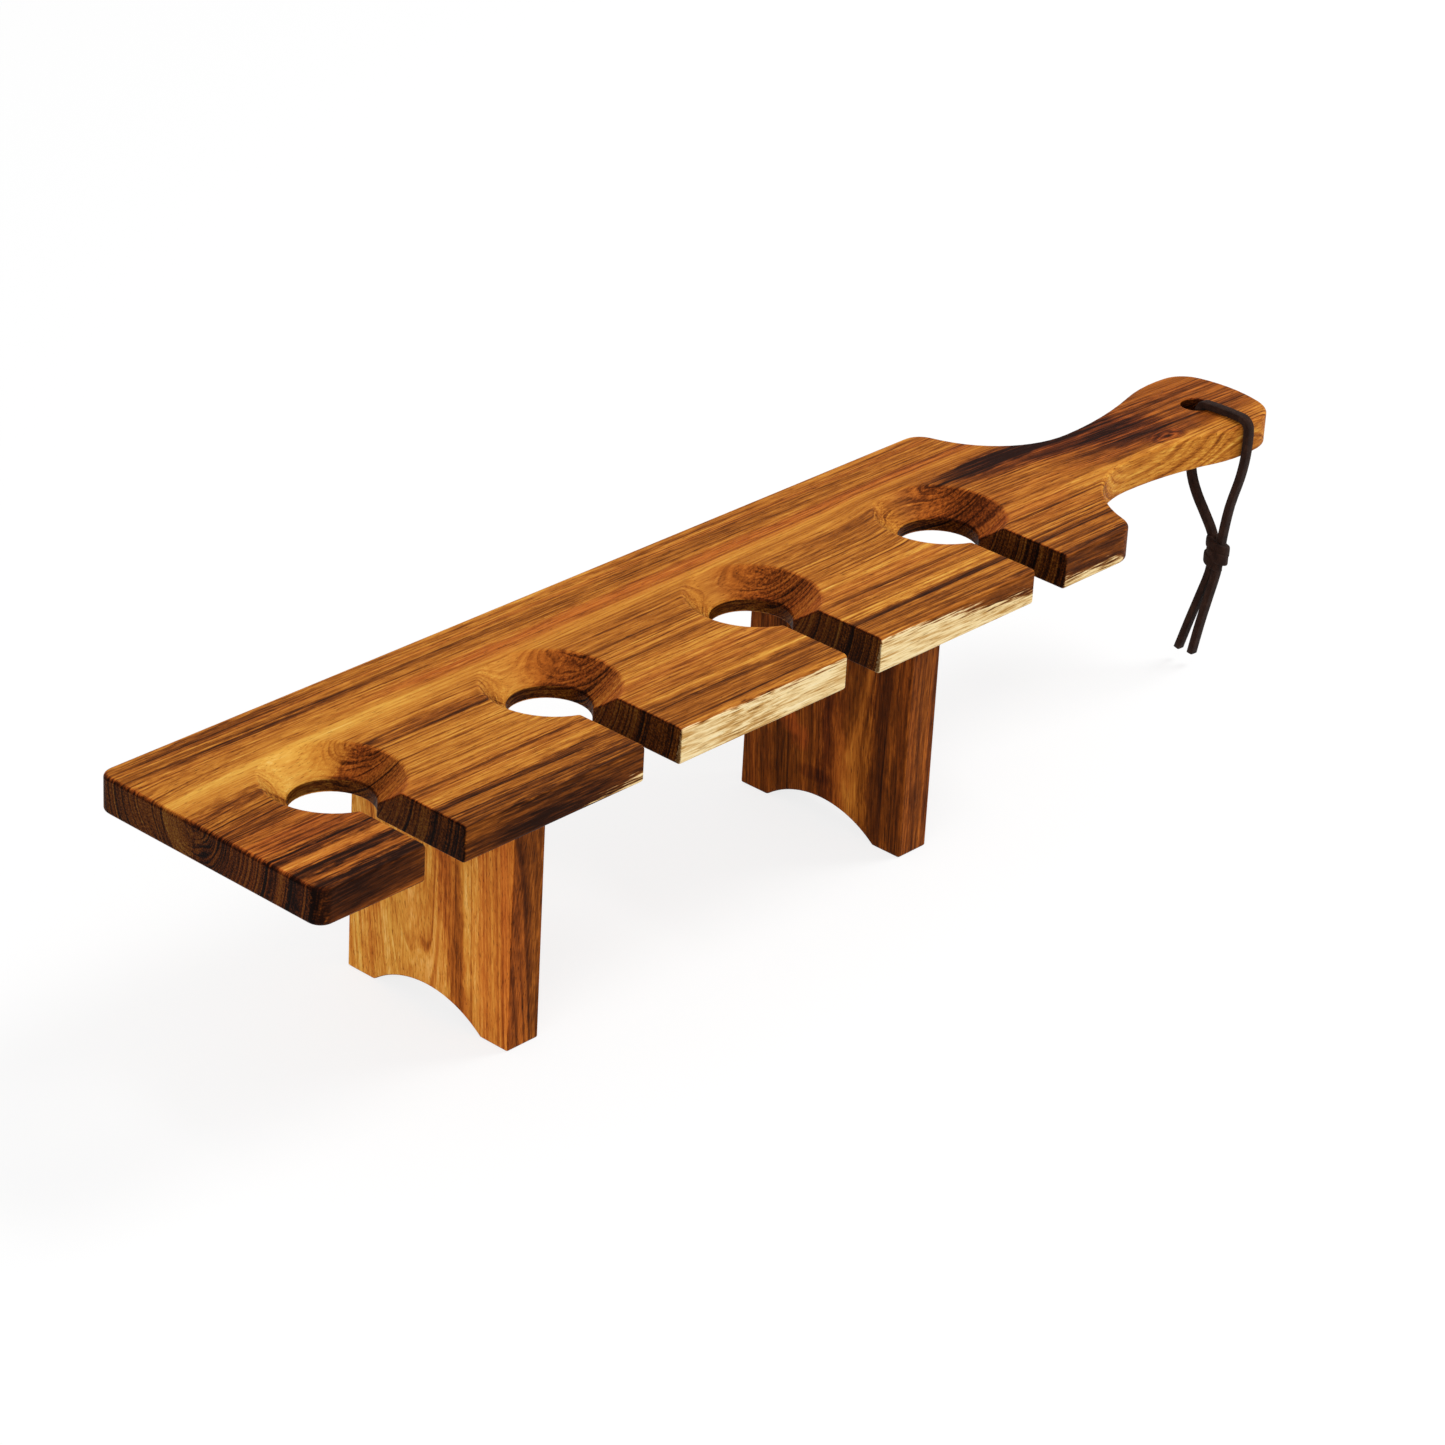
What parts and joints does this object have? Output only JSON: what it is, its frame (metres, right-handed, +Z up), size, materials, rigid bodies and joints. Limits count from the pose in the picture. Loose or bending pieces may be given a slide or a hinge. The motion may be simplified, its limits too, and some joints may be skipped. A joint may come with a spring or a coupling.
{
  "type": "wine flight board",
  "caption": "Wooden flight board on two arched legs, with dished, slotted seats for stemmed glasses, a paddle handle and a hanging thong.",
  "frame": {"origin": "on the table, under the middle of the board and its handle", "axes": "+X along the board towards the handle, -Y towards the open ends of the slots, +Z up"},
  "size_m": [0.5715, 0.1142, 0.1174],
  "materials": {
    "board_wood": "oiled acacia, satin",
    "leg_wood": "oiled acacia, satin",
    "dowel_wood": "plain hardwood",
    "suede": "matte dark brown suede"
  },
  "bodies": {
    "root": {"board": "board_wood", "leg_left": "leg_wood", "leg_right": "leg_wood", "dowel_left_front": "dowel_wood", "dowel_left_rear": "dowel_wood", "dowel_right_front": "dowel_wood", "dowel_right_rear": "dowel_wood", "thong": "suede", "thong_knot": "suede"}
  },
  "joints": []
}
